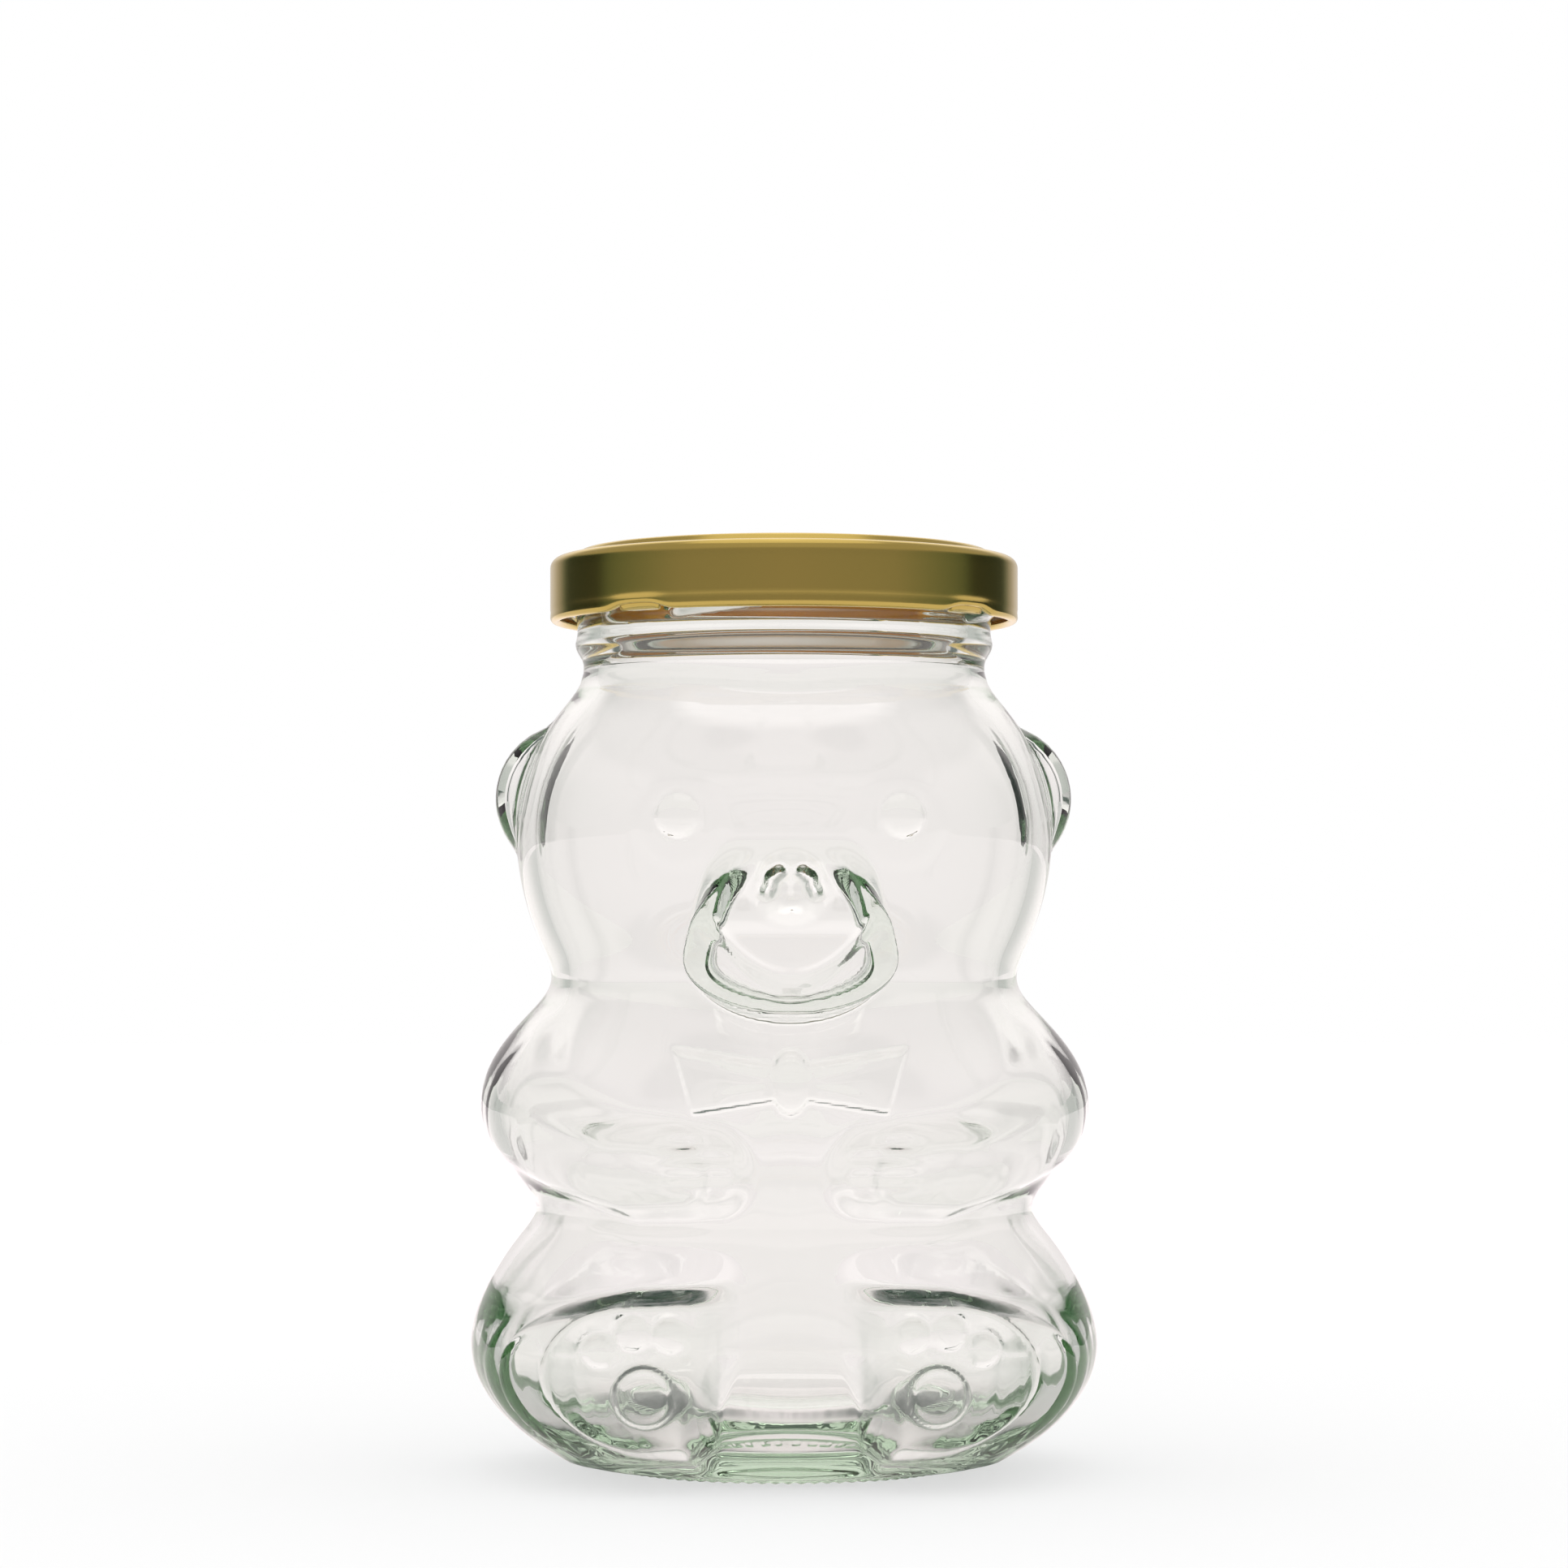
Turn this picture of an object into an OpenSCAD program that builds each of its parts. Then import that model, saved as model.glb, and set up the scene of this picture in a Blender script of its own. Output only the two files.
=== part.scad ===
// Glass honey jar in the shape of a sitting bear, with a twist-off metal lid.
// Millimetres. Z points up and the bear faces -Y. The origin is on the ground, in the middle of
// the whole object's width and depth, so the axis of the neck is axis_y behind it.

/* [Glass body] */
// Half width across the legs
base_half_w = 42.9; // [41:0.1:45]
// Half width across the arms, without their relief
torso_half_w = 40.9; // [38:0.1:43]
// Half width of the head, without the ears
head_half_w = 37.8; // [36:0.1:39]
// Half depth of the front of the body
front_half_d = 37; // [36:0.5:39]
// Half depth of the back of the body
back_half_d = 37; // [35:0.5:40]
// Thickness of the glass wall
wall = 2.45; // [2.4:0.05:3]
// Height of the inside floor
floor_z = 6; // [5:0.5:8]

/* [Face] */
// Half width of the muzzle
muzzle_half_w = 13.9; // [12:0.1:15]
// How far the muzzle stands out of the head
muzzle_h = 8.2; // [5:0.1:9.5]
// Distance between the eyes
eye_gap = 29.6; // [26:0.2:34]
// Height that the ears reach from the axis, sideways
ear_reach = 40.8; // [39.5:0.1:42]

/* [Neck] */
// Height of the glass, up to the rim
rim_z = 126.95; // [126.95:0.01:126.95]
// Radius of the mouth
mouth_r = 26; // [25:0.1:26.3]
// Radius of the neck between the threads
neck_r = 29.3; // [29:0.1:29.4]
// Radius over the threads
thread_r = 31; // [30.6:0.1:31.2]
// Radius of the bead below the lid
bead_r = 29.65; // [29.4:0.05:30.5]
// Radius of the throat between the bead and the shoulder
throat_r = 28.35; // [28.1:0.05:28.5]

/* [Lid] */
// Outer radius of the lid
lid_r = 33.05; // [32.9:0.05:33.4]
// Thickness of the lid's sheet
sheet = 0.25; // [0.2:0.01:0.3]
// Lowest point of the lid
lid_bottom_z = 118.9; // [118.7:0.05:119.2]
// Highest point of the lid
lid_top_z = 129.15; // [129:0.05:129.6]
// Thickness of the sealing ring
seal_h = 0.9; // [0.9:0.01:0.9]
// Width of one lug, in degrees
lug_deg = 12; // [8:1:12]

/* [Base] */
// Outer radius of the ring that the jar stands on
foot_r = 25.6; // [24:0.1:27]
// Inner radius of the ring that the jar stands on
foot_inner_r = 21.4; // [18:0.1:23]

/* [Hidden] */
// The feet reach further from the axis than the back does, by twice this
axis_y = 3.89;

// Columns of the body's surface, closest together at the front and then at the ears
outer_cols = 84;
inner_cols = outer_cols / 2;
inner_rows = 24;
front_density = 0.65;
side_density = 0.08;
// Heights between which the body is shaped, and the overlap of the neck and the foot ring
body_bottom_z = 1.4;
under_z = 0.7;
under_r = 27.2;
body_top_z = 112;
overlap = 0.5;
// Rows of the outer surface: from a height, up to a height, and how many
row_bands = [[body_bottom_z, 30, 19], [30, 62, 15], [62, 88, 17], [88, body_top_z, 7]];
row_z = [for (b = row_bands) for (i = [0:b[2] - 1]) b[0] + (b[1] - b[0]) * i / b[2], body_top_z];
outer_rows = len(row_z) - 1;
// How square the sections are: 2 is an ellipse
section_n = 2.25;
round_fn = 96;

// The three balls of the body: half width, front and back half depth, height of the middle,
// and how far the ball reaches above and below it
base_ball = [base_half_w, front_half_d, back_half_d + 0.5, 18.4, 28.5, 24.5];
torso_ball = [torso_half_w, front_half_d, back_half_d, 51, 25, 24.5];
head_ball = [head_half_w, front_half_d - 0.5, back_half_d - 1, 89.5, 30.5, 38];
waist_blend = 8;
chin_blend = 9;
shoulder_blend = 3;

// Limbs follow points of [degrees from the front, height, half width, relief]
limb_circle_r = 40;
arm = [[100, 58, 11, 1.2], [76, 52, 10, 2], [52, 47.3, 8.2, 3], [33, 43.2, 7, 3.7], [19, 42.7, 6, 3.8]];
leg = [[104, 15, 13, 0.8], [66, 11, 11, 2.6], [44, 12.5, 11, 5.5], [26, 15, 12, 8.5], [14, 15, 12, 8.5]];
// Width of a limb's upper and lower side
arm_edges = [6.5, 3];
leg_edges = [3, 4.2];
limb_crown = 0.6;
limb_fillet = 1.8;
// The soles lie in planes turned outwards by sole_yaw degrees, sole_d from the axis
sole_d = 43.6;
sole_yaw = 12;
sole_fillet = 2.2;
// The gap between the feet
foot_inner_x = 9.6;
foot_inner_edge = 3;

// The muzzle reaches muzzle_up above its middle and muzzle_down below it
muzzle_z = 74.4;
muzzle_up = 13;
muzzle_down = 11.6;
// Width of its side at the bottom, and how much wider it gets for each millimetre upwards
muzzle_edge = 4;
muzzle_edge_rise = 0.22;
muzzle_crown = 1;
muzzle_fillet = 2;
nose = [0, 81.2, 4.3, 3.2, 1.7];
nose_fillet = 0.6;
eye_z = 90.6;
eye_r = 2.9;
eye_h = 0.9;
ear_mid_x = 30.2;
ear_mid_y = 1;
ear_mid_z = 94.2;
ear_half_thick = 5.2;
ear_r = ear_reach - ear_mid_x;
ear_fillet = 1.4;
ear_tip = 0.01;
bow_z = 54.9;
bow_half_w = 14.6;
bow_knot = [2.8, 4.3];
bow_wing_h = [2.6, 4.9];
bow_relief = 0.8;
bow_edge = 1.6;
// How far the inside of the body stays clear of the mouth's radius
mouth_clear = 0.3;
// The inside follows this share of the limbs and the muzzle, with sides this much wider
inner_follow = 0.45;
inner_soft = 4;
floor_corner_r = 6;

// The neck starts this much inside the edge of the shoulder
throat_step = 0.2;
neck_low_z = 113.4;
bead_z = 115.4;
groove_z = 117.6;
groove_r = 29.1;
rim_round = 1;
thread_starts = 4;
// The low end of a thread, its length and its tilt, in degrees
thread_low_deg = -31.5;
thread_deg = 70;
thread_low_z = 118.3;
thread_tilt = 6.2;
thread_mid_z = thread_low_z + thread_r * sin(thread_deg / 2) * tan(thread_tilt);
lug_mid_deg = thread_low_deg - 8;
lug_z = [lid_bottom_z, lid_bottom_z + 1];
lug_inner_r = neck_r + 0.45;
lug_outer_r = lid_r - 0.6;

// Outer surface of the lid: the channel over the rim, the raised ring and the middle
channel_z = rim_z + seal_h + sheet;
ring_r = 28.8;
ring_w = 2.6;
panel_z = lid_top_z - 0.7;
corner_r = 1.5;
curl_r = 0.72;
curl_end_deg = 250;
arc_steps = 8;
seal_r = [26.9, 31];

// A smooth maximum of two lengths, rounded over k, and a smooth minimum
function blend_max(a, b, k) = max(a, b) + pow(max(k - abs(a - b), 0), 2) / (4 * k);
function blend_min(a, b, k) = -blend_max(-a, -b, k);

// A point on the ray that leaves the axis at phi degrees from the front
function around(phi, r, z) = [r * sin(phi), -r * cos(phi), z];

// Radius of a rounded section with half width w and half depth d
function section_r(w, d, phi) =
    pow(pow(abs(sin(phi)) / w, section_n) + pow(abs(cos(phi)) / d, section_n), -1 / section_n);

// Radius of one ball of the body
function ball_r(ball, phi, z) =
    let (away = (z - ball[3]) / (z > ball[3] ? ball[4] : ball[5]))
    sqrt(max(0.0001, 1 - away * away)) * section_r(ball[0], cos(phi) > 0 ? ball[1] : ball[2], phi);

// Radius of the body without its face and limbs
function core_r(phi, z) =
    let (low = blend_max(ball_r(base_ball, phi, z), ball_r(torso_ball, phi, z), waist_blend))
    let (whole = blend_max(low, ball_r(head_ball, phi, z), chin_blend))
    blend_max(whole, throat_r, shoulder_blend);

// Relief of a raised form at distance d from its middle line: w wide, h high, with sides edge wide
function boss(d, w, h, edge, crown, k) =
    blend_min((w - d) * h / edge, h - crown * pow(d / w, 2), k);

// Relief of a limb that follows a path of [arc length, height, half width, relief]
function along(p, a, b, edges) =
    let (run = [b[0] - a[0], b[1] - a[1]])
    let (t = max(0, min(1, ([p[0] - a[0], p[1] - a[1]] * run) / (run * run))))
    let (c = a + (b - a) * t)
    let (d = norm([p[0] - c[0], p[1] - c[1]]), upper = (1 + (p[1] - c[1]) / max(d, 0.01)) / 2)
    boss(d, c[2], c[3], edges[1] + (edges[0] - edges[1]) * upper, limb_crown, limb_fillet);
function arc_mm(deg) = deg * PI / 180 * limb_circle_r;
function limb_point(q) = [arc_mm(q[0]), q[1], q[2], q[3]];
function limb(phi, z, path, edges) =
    let (p = [arc_mm(abs(phi)), z])
    max([for (i = [0:len(path) - 2])
        along(p, limb_point(path[i]), limb_point(path[i + 1]), edges)]);

// Relief of the bow tie at x and z on the front
function bow(x, z) =
    let (wing = bow_wing_h[0] + (bow_wing_h[1] - bow_wing_h[0]) * abs(x) / bow_half_w)
    let (wing_in = min(wing - abs(z - bow_z), bow_half_w - abs(x)))
    let (knot_in = (1 - norm([x / bow_knot[0], (z - bow_z) / bow_knot[1]])) * bow_knot[0])
    max(0, min(bow_relief, bow_relief * wing_in / bow_edge),
        min(bow_relief * 1.6, 2 * bow_relief * knot_in / bow_edge));

// Outer end of a ray in an ear
function ear_end(phi, z) =
    let (s2 = 1 - pow((z - ear_mid_z) / ear_r, 2))
    let (s = sqrt(max(ear_tip, s2)), p = ear_r * s, q = ear_half_thick * s)
    let (ux = abs(sin(phi)), uy = -cos(phi))
    let (aa = pow(ux / p, 2) + pow(uy / q, 2))
    let (bb = ux * ear_mid_x / (p * p) + uy * ear_mid_y / (q * q))
    let (cc = pow(ear_mid_x / p, 2) + pow(ear_mid_y / q, 2) - 1)
    let (disc = bb * bb - aa * cc)
    s2 > ear_tip && disc > 0 ? (bb + sqrt(disc)) / aa : 0;

// Relief of the limbs and the muzzle, which the inside follows in part
function muzzle_relief(x, z, soft) =
    let (up = (z - muzzle_z) / (z > muzzle_z ? muzzle_up : muzzle_down))
    let (d = norm([x, up * muzzle_half_w]), rise = muzzle_edge_rise * max(0, z - muzzle_z))
    boss(d, muzzle_half_w, muzzle_h, muzzle_edge + rise + soft, muzzle_crown, 1.4);
function foot_gap(x) = max(0, min(1, (abs(x) - foot_inner_x) / foot_inner_edge + 0.5));
function large_relief(phi, z, r, soft) =
    let (x = r * sin(phi), front = cos(phi) > 0, more = [soft, soft])
    let (arms = blend_max(0, limb(phi, z, arm, arm_edges + more), limb_fillet))
    let (legs = blend_max(0, limb(phi, z, leg, leg_edges + more), limb_fillet))
    let (face = front ? blend_max(0, muzzle_relief(x, z, soft), muzzle_fillet) : 0)
    max(arms, front ? legs * foot_gap(x) : legs, face);

// Relief of the nose, eyes and bow tie
function small_relief(phi, z, r) =
    let (x = r * sin(phi))
    let (nose_d = norm([x - nose[0], (z - nose[1]) * nose[2] / nose[3]]))
    let (eye_d = norm([abs(x) - eye_gap / 2, z - eye_z]))
    cos(phi) <= 0 ? 0 :
    blend_max(0, boss(nose_d, nose[2], nose[4], nose[2] / 2, 0.4, 0.8), nose_fillet)
    + blend_max(0, boss(eye_d, eye_r, eye_h, eye_r, 0, 0.4), nose_fillet) + bow(x, z);

// Radius of the outside and of the inside of the glass
function outer_r(phi, z) =
    let (core = core_r(phi, z))
    let (raised = core + large_relief(phi, z, core, 0))
    let (sole = sole_d / cos(min(80, abs(abs(phi) - sole_yaw))))
    let (flat = z < 32 && cos(phi) > 0 ? max(core, blend_min(raised, sole, sole_fillet)) : raised)
    blend_max(flat + small_relief(phi, z, flat), ear_end(phi, z), ear_fillet);
function inner_r(phi, z) =
    let (core = core_r(phi, z))
    let (bare = max(core - wall, mouth_r + mouth_clear))
    let (full = bare + inner_follow * large_relief(phi, z, core, inner_soft))
    let (up = z - floor_z)
    up >= floor_corner_r ? full
    : full - floor_corner_r + sqrt(pow(floor_corner_r, 2) - pow(floor_corner_r - max(0, up), 2));

// Angle of a column of the surface
function column_deg(i, cols) =
    let (s = i * 360 / cols - 180)
    s + (side_density * sin(2 * s) - front_density * sin(s)) * 180 / PI;
function inner_row_z(j) =
    j < 4 ? floor_z + floor_corner_r * (1 - cos(j * 22.5))
    : floor_z + floor_corner_r
    + (body_top_z - floor_z - floor_corner_r) * (j - 4) / (inner_rows - 4);

// Faces of the wall between two rings of n points that start at a and b, the second above
function wall_faces(a, b, n) =
    [for (i = [0:n - 1]) let (k = (i + 1) % n) each [[a + i, b + i, b + k], [a + i, b + k, a + k]]];
function flip(faces) = [for (f = faces) [f[2], f[1], f[0]]];

module bear_body() {
    outer = [for (j = [0:outer_rows]) for (i = [0:outer_cols - 1])
        let (phi = column_deg(i, outer_cols), z = row_z[j])
        around(phi, outer_r(phi, z), z)];
    under = [for (i = [0:outer_cols - 1]) around(column_deg(i, outer_cols), under_r, under_z)];
    inner = [for (j = [0:inner_rows]) for (i = [0:inner_cols - 1])
        let (phi = column_deg(i, inner_cols), z = inner_row_z(j))
        around(phi, inner_r(phi, z), z)];
    under_at = len(outer);
    inner_at = under_at + outer_cols;
    low_at = inner_at + len(inner);
    top_at = outer_rows * outer_cols;
    inner_top_at = inner_at + inner_rows * inner_cols;
    points = concat(outer, under, inner, [[0, 0, under_z], [0, 0, floor_z]]);
    outside = [for (j = [0:outer_rows - 1])
        each wall_faces(j * outer_cols, (j + 1) * outer_cols, outer_cols)];
    corner = wall_faces(under_at, 0, outer_cols);
    bottom = [for (i = [0:outer_cols - 1])
        [low_at, under_at + i, under_at + (i + 1) % outer_cols]];
    inside = flip([for (j = [0:inner_rows - 1])
        each wall_faces(inner_at + j * inner_cols, inner_at + (j + 1) * inner_cols, inner_cols)]);
    floor_faces = [for (i = [0:inner_cols - 1])
        [low_at + 1, inner_at + (i + 1) % inner_cols, inner_at + i]];
    top = [for (i = [0:inner_cols - 1])
        let (m = inner_top_at + i, n = inner_top_at + (i + 1) % inner_cols)
        let (a = top_at + 2 * i, b = top_at + 2 * i + 1, c = top_at + (2 * i + 2) % outer_cols)
        each [[a, m, b], [m, n, b], [b, n, c]]];
    polyhedron(points, concat(outside, corner, bottom, inside, floor_faces, top));
}

module neck() {
    rotate_extrude($fn = round_fn)
        polygon([
            [mouth_r, body_top_z - overlap],
            [throat_r - throat_step, body_top_z - overlap],
            [throat_r - throat_step, body_top_z + throat_step],
            [throat_r, body_top_z + 2 * throat_step],
            [throat_r, neck_low_z],
            [bead_r - 0.5, bead_z - 1],
            [bead_r, bead_z - 0.3],
            [bead_r, bead_z + 0.4],
            [bead_r - 0.35, bead_z + 1.2],
            [groove_r, groove_z],
            [neck_r, groove_z + 1.2],
            [neck_r, rim_z - rim_round],
            [neck_r - rim_round * 0.3, rim_z - rim_round * 0.3],
            [neck_r - rim_round, rim_z],
            [mouth_r + rim_round * 0.6, rim_z],
            [mouth_r, rim_z - rim_round * 0.6]
        ]);
}

// One thread of the neck: part of a tilted ring, which climbs to the right as seen from the front
module thread() {
    rotate(thread_low_deg + thread_deg / 2 - 90)
        translate([0, 0, thread_mid_z])
            rotate([thread_tilt, 0, 0])
                rotate(-thread_deg / 2)
                    rotate_extrude(angle = thread_deg, $fn = round_fn)
                        polygon([
                            [neck_r - 1, -0.4],
                            [neck_r, 0],
                            [thread_r - 0.4, 0.35],
                            [thread_r, 0.75],
                            [thread_r, 1.15],
                            [thread_r - 0.4, 1.5],
                            [neck_r, 1.85],
                            [neck_r - 1, 2.2]
                        ]);
}

module foot_ring() {
    rotate_extrude($fn = round_fn)
        polygon([
            [foot_inner_r - 0.6, under_z + overlap],
            [foot_inner_r, 0.25],
            [foot_inner_r + 0.5, 0],
            [foot_r - 0.8, 0],
            [foot_r - 0.2, 0.25],
            [foot_r, under_z + overlap]
        ]);
}

module jar() {
    color([0.84, 0.9, 0.87, 0.6]) translate([0, axis_y, 0]) {
        bear_body();
        neck();
        for (k = [0:thread_starts - 1]) rotate(k * 360 / thread_starts) thread();
        foot_ring();
    }
}

module seal_ring() {
    color([0.86, 0.85, 0.82])
        translate([0, axis_y, 0])
            rotate_extrude($fn = round_fn)
                translate([seal_r[0], rim_z])
                    square([seal_r[1] - seal_r[0], seal_h]);
}

// Points on an arc about c, from one angle to another
function arc(c, r, from, to) =
    [for (i = [0:arc_steps]) let (a = from + (to - from) * i / arc_steps)
        [c[0] + r * cos(a), c[1] + r * sin(a)]];

// Outline of a sheet of thickness t on the right-hand side of a path
function sheet_outline(path, t) =
    let (n = len(path))
    let (other = [for (i = [0:n - 1])
        let (d = path[min(i + 1, n - 1)] - path[max(i - 1, 0)])
        path[i] + t * [d[1], -d[0]] / norm(d)])
    concat(path, [for (i = [n - 1:-1:0]) other[i]]);

module lid_shell() {
    skirt_bottom = lid_bottom_z + curl_r;
    path = concat(
        [[0, panel_z], [ring_r - ring_w - 0.9, panel_z], [ring_r - ring_w - 0.4, panel_z + 0.1]],
        [[ring_r - ring_w, lid_top_z - 0.1], [ring_r - ring_w + 0.4, lid_top_z]],
        [[ring_r - 0.4, lid_top_z], [ring_r, lid_top_z - 0.1]],
        [[ring_r + 0.45, channel_z + 0.1], [ring_r + 0.85, channel_z]],
        arc([lid_r - corner_r, channel_z - corner_r], corner_r, 90, 0),
        arc([lid_r - curl_r, skirt_bottom], curl_r, 0, -curl_end_deg));
    rotate_extrude($fn = round_fn) polygon(sheet_outline(path, sheet));
}

module lid_lug() {
    rotate([0, 0, lug_mid_deg - 90 - lug_deg / 2])
        rotate_extrude(angle = lug_deg, $fn = round_fn)
            polygon([
                [lug_inner_r, lug_z[0] + 0.3],
                [lug_inner_r + 0.3, lug_z[0]],
                [lug_outer_r, lug_z[0] + 0.1],
                [lug_outer_r, lug_z[1]],
                [lug_inner_r + 0.3, lug_z[1]],
                [lug_inner_r, lug_z[1] - 0.3]
            ]);
}

module lid() {
    color([0.62, 0.53, 0.24]) translate([0, axis_y, 0]) {
        lid_shell();
        for (k = [0:thread_starts - 1]) rotate(k * 360 / thread_starts) lid_lug();
    }
}

jar();
seal_ring();
lid();
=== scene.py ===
# Looks of the honey bear jar: clear glass in the shape of a sitting bear, with a gold twist-off lid.
# Shapes are written in millimetres, as in the CAD source, and scaled to metres when a mesh is made.
# Z points up, the bear faces -Y, and phi is the angle from the front, in degrees.
import math

import bpy
import numpy as np
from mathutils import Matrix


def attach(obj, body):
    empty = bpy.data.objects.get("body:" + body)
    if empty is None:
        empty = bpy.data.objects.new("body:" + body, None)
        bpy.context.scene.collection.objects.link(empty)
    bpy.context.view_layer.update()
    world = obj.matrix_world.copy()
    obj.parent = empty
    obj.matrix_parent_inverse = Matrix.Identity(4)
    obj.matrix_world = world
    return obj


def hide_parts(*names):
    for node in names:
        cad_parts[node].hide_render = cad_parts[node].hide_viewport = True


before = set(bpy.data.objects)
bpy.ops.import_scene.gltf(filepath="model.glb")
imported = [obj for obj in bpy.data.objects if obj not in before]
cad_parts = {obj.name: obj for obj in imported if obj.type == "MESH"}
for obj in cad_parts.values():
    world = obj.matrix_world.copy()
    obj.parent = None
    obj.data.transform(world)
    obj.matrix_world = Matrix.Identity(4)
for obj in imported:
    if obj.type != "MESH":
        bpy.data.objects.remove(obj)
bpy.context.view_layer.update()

MM = 0.001

# The body. A ball is its half width, front and back depth, middle height and reach up and down
AXIS_Y = 3.89
SECTION_N = 2.25
BASE_BALL = (42.9, 37.0, 37.49, 18.4, 28.5, 24.5)
TORSO_BALL = (40.9, 37.0, 37.0, 51.0, 25.0, 24.5)
HEAD_BALL = (37.8, 36.5, 36.0, 89.5, 30.5, 38.0)
WAIST_BLEND, CHIN_BLEND, SHOULDER_BLEND = 8.0, 9.0, 3.0
# How much softer the waist and the chin are at the front, and up to which angle
FRONT_BLEND, FRONT_REACH = 1.7, 60.0
BODY_BOTTOM_Z, BODY_TOP_Z = 1.4, 112.0
THROAT_R, MOUTH_R = 28.35, 26.0

# The limbs. A point is degrees from the front, height, half width, relief, width of the upper and lower side
LIMB_CIRCLE_R = 40.0
LIMB_CROWN, LIMB_FILLET = 0.6, 1.0
LOWEST_RELIEF = -5
ARM = ((100, 58, 11, 1.2, 7, 6), (76, 52, 10, 2.2, 7, 5), (52, 47.3, 8.8, 3.6, 6, 2.2),
       (36, 43.8, 7.8, 4.4, 5, 2.1), (24, 43.3, 7.0, 4.0, 4, 2.0), (17, 42.9, 6.4, 2.4, 3, 2.4))
LEG = ((104, 15, 13, 1.55, 8, 8), (76, 12.5, 12.7, 1.45, 7, 7), (58, 12, 12.8, 2.4, 4.4, 5.5),
       (44, 12.5, 13, 5.4, 3, 4.8), (30, 14.3, 13, 8.2, 2.5, 4.6), (14, 15, 12.8, 8.8, 2.4, 4.4))
# The flat soles: distance from the axis, degrees that they turn outward, rounding, height and reach
SOLE_D, SOLE_YAW, SOLE_FILLET, SOLE_TOP_Z, SOLE_REACH_DEG = 44.2, 12.0, 3.2, 32, 80
# Middle and width of the inner side of a foot, at its bottom and at its top
FOOT_GAP_Z, FOOT_GAP_X, FOOT_GAP_W = (11, 19), (10.6, 10.2), (2.6, 8.0)

# The muzzle: its widest height, half width and reach below, then relief, sides and how it narrows upward
MUZZLE_Z, MUZZLE_HALF_W, MUZZLE_DOWN = 71.6, 13.6, 8.7
MUZZLE_H, MUZZLE_CROWN, MUZZLE_EDGE, MUZZLE_TOP_EDGE = 8.8, 0.8, 2.2, 4.0
MUZZLE_NARROW, MUZZLE_NARROW_FROM = 0.24, 3
MUZZLE_FILLET, MUZZLE_SOFT, MUZZLE_TOP_SOFT = 0.9, 0.9, 1.6
# Its softer top, and where it fades out
MUZZLE_TOP_Z, MUZZLE_TOP_REACH = 76, 10
MUZZLE_FADE_Z, MUZZLE_FADE = 75.5, 12.2
# How much narrower its hollow is for an inset: at the sides, further up, and where it fades out
MUZZLE_IN_W, MUZZLE_IN_NARROW, MUZZLE_IN_FADE = 1.1, 0.03, 0.4

# The ears: middle of an ear, its radius and half thickness, and its hollowed front side
EAR_MID = (30.2, 1.0, 94.2)
EAR_R, EAR_HALF_THICK, EAR_FILLET, EAR_TIP = 10.6, 5.2, 1.4, 0.01
EAR_DISH_DEG, EAR_DISH_Z, EAR_DISH_HALF_DEG, EAR_DISH_HALF_H = 76, 94.6, 7.5, 6.6
EAR_DISH_STEPS, EAR_DISH_DEPTH, EAR_DISH_EDGE = (1.25, 0.8), 0.7, 0.2

# The eyes: domes on shallow discs
EYE_X, EYE_Z, EYE_R, EYE_H = 14.8, 90.6, 3.0, 1.45
SOCKET_DROP, SOCKET_R, SOCKET_H, SOCKET_EDGE = 1.0, 5.9, 0.4, 2.4
# The smile curves up by SMILE_RISE at SMILE_RISE_X from the middle, with a lip below it
SMILE_Z, SMILE_RISE, SMILE_RISE_X = 69.2, 5.6, 9.4
SMILE_HALF, SMILE_DEPTH, SMILE_END, SMILE_END_SOFT = 0.85, 0.75, 11.4, 1.2
LIP_DROP, LIP_HALF, LIP_H, LIP_END, LIP_END_SOFT = 2.1, 0.8, 0.3, 10.5, 3
SNOUT_LINE, SNOUT_LINE_HALF, SNOUT_LINE_DEPTH = ((0, 77.5), (0, 70.2)), 0.7, 0.35
# The nose: a low disc, radius, relief, soft edge and how tall it is for its width
NOSE_Z, NOSE_R, NOSE_H, NOSE_EDGE, NOSE_TALL = 81.2, 4.3, 1.0, 3.8, 0.9
NOSTRIL, NOSTRIL_HALF, NOSTRIL_DEPTH = ((1.6, 83.0), (2.5, 82.3), (3.2, 80.3)), 1.15, 3.1

# The hands: the dent beside the thumb, and the lines between the fingers as height, half width and depth
THUMB_X, THUMB_Z, THUMB_HALF_W, THUMB_HALF_H, THUMB_DEPTH = 15, 46.8, 2.2, 0.95, 2.2
FINGER_LINES = ((44.9, 0.6, 0.7), (42.3, 0.55, 0.5))
HAND_X, HAND_SOFT = (7.5, 18.5), (1.5, 5)
# Soft fold across the chest above the bow tie
CHEST_FOLD, CHEST_FOLD_HALF, CHEST_FOLD_H = ((27, 61.8), (17, 60.2), (10, 58.8)), 2.6, 0.15
# Pads of the soles: three toes, and a round heel with a flat middle
TOES, TOE_R, TOE_H = ((16.0, 21.6), (20.9, 21.8), (25.3, 19.4)), 2.3, 1.0
HEEL, HEEL_R, HEEL_H, HEEL_EDGE = (19.3, 13.5), 4.1, 0.55, 0.8
HEEL_FLAT_R, HEEL_FLAT_DEPTH, HEEL_FLAT_EDGE = 3.1, 0.3, 0.6

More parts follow.
